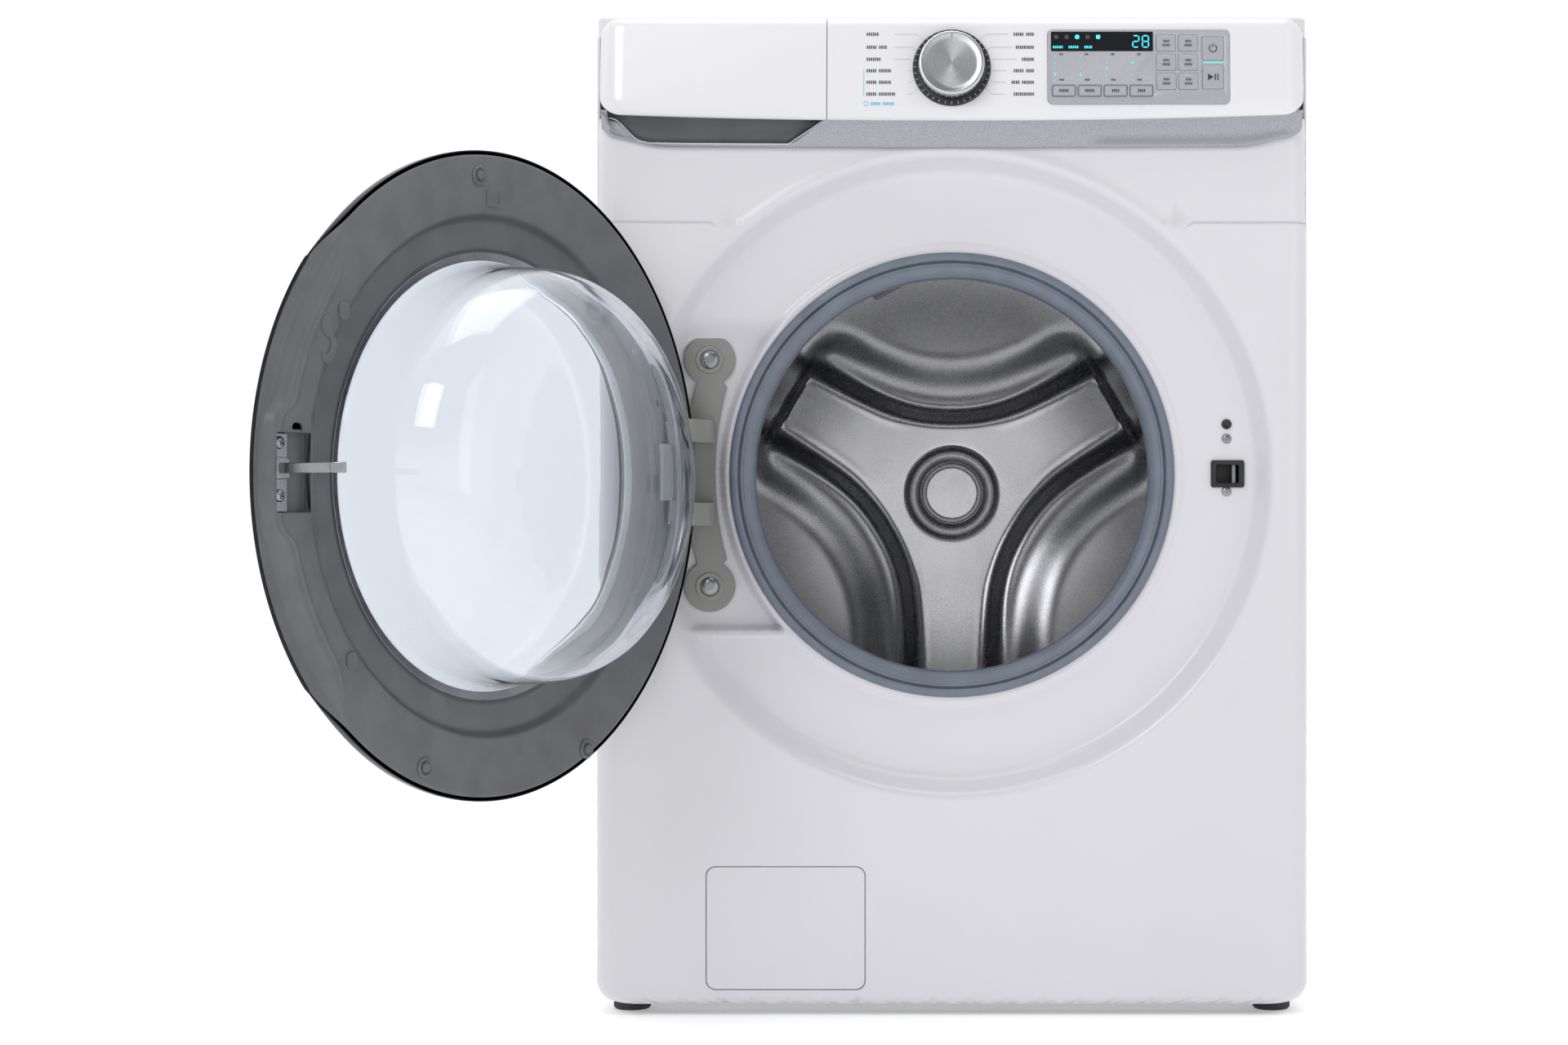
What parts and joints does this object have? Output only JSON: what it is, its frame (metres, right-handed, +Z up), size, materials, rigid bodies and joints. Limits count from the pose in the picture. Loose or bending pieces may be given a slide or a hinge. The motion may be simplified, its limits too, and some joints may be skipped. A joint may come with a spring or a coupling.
{
  "type": "front load washing machine",
  "caption": "Free-standing front load washing machine with a hinged round door, a sprung tub and drum, a detergent drawer, a knob and push keys.",
  "frame": {"origin": "centre of the front left levelling foot's sole, on the floor", "axes": "+Z up; -Y out of the front with the door; +X to the right seen from the front"},
  "size_m": [0.9108, 1.2438, 0.962],
  "materials": {
    "white_enamel": "white stove enamel on steel sheet",
    "galvanised": "bare galvanised sheet",
    "white_plastic": "glossy white ABS",
    "silver_trim": "silver painted plastic with a fine metallic grain",
    "panel_silver": "silver lacquered plastic",
    "key_silver": "silver lacquered key",
    "knob_metal": "radially brushed aluminium cap",
    "dark_grey_plastic": "dark grey moulded plastic",
    "black_plastic": "black moulded plastic",
    "gasket_rubber": "blue-grey moulded rubber",
    "stainless": "pressed stainless steel",
    "tub_plastic": "glass-filled polypropylene",
    "concrete": "cast ballast",
    "winding": "copper windings",
    "steel": "plain steel",
    "door_grey": "grey moulded plastic",
    "door_black": "gloss black plastic",
    "clear_glass": "clear pressed glass",
    "hinge_grey": "warm grey paint on cast metal",
    "foot_rubber": "dark grey rubber",
    "board_green": "circuit board",
    "inner_plastic": "pale moulded plastic"
  },
  "bodies": {
    "cabinet": {"cabinet_shell": "white_enamel", "rear_cover": "galvanised", "base_pan": "galvanised", "top_cover": "white_enamel", "front_frame": "white_enamel", "console_panel": "white_plastic", "console_band": "silver_trim", "display_plate": "panel_silver", "knob_ring": "steel", "control_board": "board_green", "dispenser_housing": "inner_plastic", "water_inlet_valve": "inner_plastic", "drain_outlet": "dark_grey_plastic", "power_inlet": "black_plastic", "drain_pump": "inner_plastic", "hinge_bracket": "hinge_grey", "door_lock": "black_plastic", "door_gasket": "gasket_rubber", "foot_front_left": "foot_rubber", "foot_front_right": "foot_rubber", "foot_rear_left": "foot_rubber", "foot_rear_right": "foot_rubber", "spring_left": "steel", "spring_right": "steel", "damper_body_left": "steel", "damper_body_right": "steel"},
    "tub": {"tub_front": "tub_plastic", "tub_rear": "tub_plastic", "counterweight": "concrete", "main_bearing": "steel", "stator": "winding", "damper_rod_left": "steel", "damper_rod_right": "steel"},
    "drum": {"drum": "stainless", "drum_shaft": "steel", "rotor": "steel"},
    "door": {"door_cover": "door_black", "door_frame": "door_grey", "door_glass": "clear_glass", "door_hook": "steel", "door_hinge_arm": "hinge_grey"},
    "drawer": {"drawer_front": "white_plastic", "drawer_handle": "dark_grey_plastic", "drawer_tray": "inner_plastic"},
    "knob": {"cycle_knob": "knob_metal"},
    "filter_door": {"filter_door": "white_plastic"},
    "filter_cap": {"filter_cap": "inner_plastic"},
    "key_temperature": {"key_temperature": "key_silver"},
    "key_rinse": {"key_rinse": "key_silver"},
    "key_spin": {"key_spin": "key_silver"},
    "key_soil": {"key_soil": "key_silver"},
    "key_pre_soak": {"key_pre_soak": "key_silver"},
    "key_delay_end": {"key_delay_end": "key_silver"},
    "key_fast_wash": {"key_fast_wash": "key_silver"},
    "key_alarm_off": {"key_alarm_off": "key_silver"},
    "key_self_check": {"key_self_check": "key_silver"},
    "key_remote": {"key_remote": "key_silver"},
    "key_power": {"key_power": "key_silver"},
    "key_start": {"key_start": "key_silver"}
  },
  "joints": [
    {"name": "door_hinge", "type": "hinge", "parent": "cabinet", "child": "door", "pos_m": [0.054, -0.0605, 0.514], "axis": [0, 0, 1], "range_deg": [-5, 123]},
    {"name": "drawer_slide", "type": "slide", "parent": "cabinet", "child": "drawer", "axis": [0, -1, 0], "range_m": [0, 0.235]},
    {"name": "knob_turn", "type": "hinge", "parent": "cabinet", "child": "knob", "pos_m": [0.311, -0.06631, 0.90621], "axis": [0, 0.9925, -0.1219], "continuous": true},
    {"name": "filter_door_hinge", "type": "hinge", "parent": "cabinet", "child": "filter_door", "pos_m": [0.1515, -0.0448, 0.0252], "axis": [1, 0, 0], "range_deg": [0, 95]},
    {"name": "filter_cap_turn", "type": "hinge", "parent": "cabinet", "child": "filter_cap", "pos_m": [0.1515, -0.015, 0.0835], "axis": [0, 1, 0], "range_deg": [0, 90]},
    {"name": "tub_bounce", "type": "slide", "parent": "cabinet", "child": "tub", "axis": [0, 0, 1], "range_m": [-0.012, 0.012], "stiffness_N_per_m": 20000, "springref_m": 0.02, "deforming": ["spring_left", "spring_right", "door_gasket"]},
    {"name": "drum_spin", "type": "hinge", "parent": "tub", "child": "drum", "pos_m": [0.311, 0.355, 0.51088], "axis": [0, 0.9997, -0.0262], "continuous": true},
    {"name": "press_temperature", "type": "slide", "parent": "cabinet", "child": "key_temperature", "axis": [0, 0.9925, -0.1219], "range_m": [0, 0.0008], "stiffness_N_per_m": 400, "springref_m": -0.0004},
    {"name": "press_rinse", "type": "slide", "parent": "cabinet", "child": "key_rinse", "axis": [0, 0.9925, -0.1219], "range_m": [0, 0.0008], "stiffness_N_per_m": 400, "springref_m": -0.0004},
    {"name": "press_spin", "type": "slide", "parent": "cabinet", "child": "key_spin", "axis": [0, 0.9925, -0.1219], "range_m": [0, 0.0008], "stiffness_N_per_m": 400, "springref_m": -0.0004},
    {"name": "press_soil", "type": "slide", "parent": "cabinet", "child": "key_soil", "axis": [0, 0.9925, -0.1219], "range_m": [0, 0.0008], "stiffness_N_per_m": 400, "springref_m": -0.0004},
    {"name": "press_pre_soak", "type": "slide", "parent": "cabinet", "child": "key_pre_soak", "axis": [0, 0.9925, -0.1219], "range_m": [0, 0.0008], "stiffness_N_per_m": 400, "springref_m": -0.0004},
    {"name": "press_delay_end", "type": "slide", "parent": "cabinet", "child": "key_delay_end", "axis": [0, 0.9925, -0.1219], "range_m": [0, 0.0008], "stiffness_N_per_m": 400, "springref_m": -0.0004},
    {"name": "press_fast_wash", "type": "slide", "parent": "cabinet", "child": "key_fast_wash", "axis": [0, 0.9925, -0.1219], "range_m": [0, 0.0008], "stiffness_N_per_m": 400, "springref_m": -0.0004},
    {"name": "press_alarm_off", "type": "slide", "parent": "cabinet", "child": "key_alarm_off", "axis": [0, 0.9925, -0.1219], "range_m": [0, 0.0008], "stiffness_N_per_m": 400, "springref_m": -0.0004},
    {"name": "press_self_check", "type": "slide", "parent": "cabinet", "child": "key_self_check", "axis": [0, 0.9925, -0.1219], "range_m": [0, 0.0008], "stiffness_N_per_m": 400, "springref_m": -0.0004},
    {"name": "press_remote", "type": "slide", "parent": "cabinet", "child": "key_remote", "axis": [0, 0.9925, -0.1219], "range_m": [0, 0.0008], "stiffness_N_per_m": 400, "springref_m": -0.0004},
    {"name": "press_power", "type": "slide", "parent": "cabinet", "child": "key_power", "axis": [0, 0.9925, -0.1219], "range_m": [0, 0.0008], "stiffness_N_per_m": 400, "springref_m": -0.0004},
    {"name": "press_start", "type": "slide", "parent": "cabinet", "child": "key_start", "axis": [0, 0.9925, -0.1219], "range_m": [0, 0.0008], "stiffness_N_per_m": 400, "springref_m": -0.0004}
  ]
}
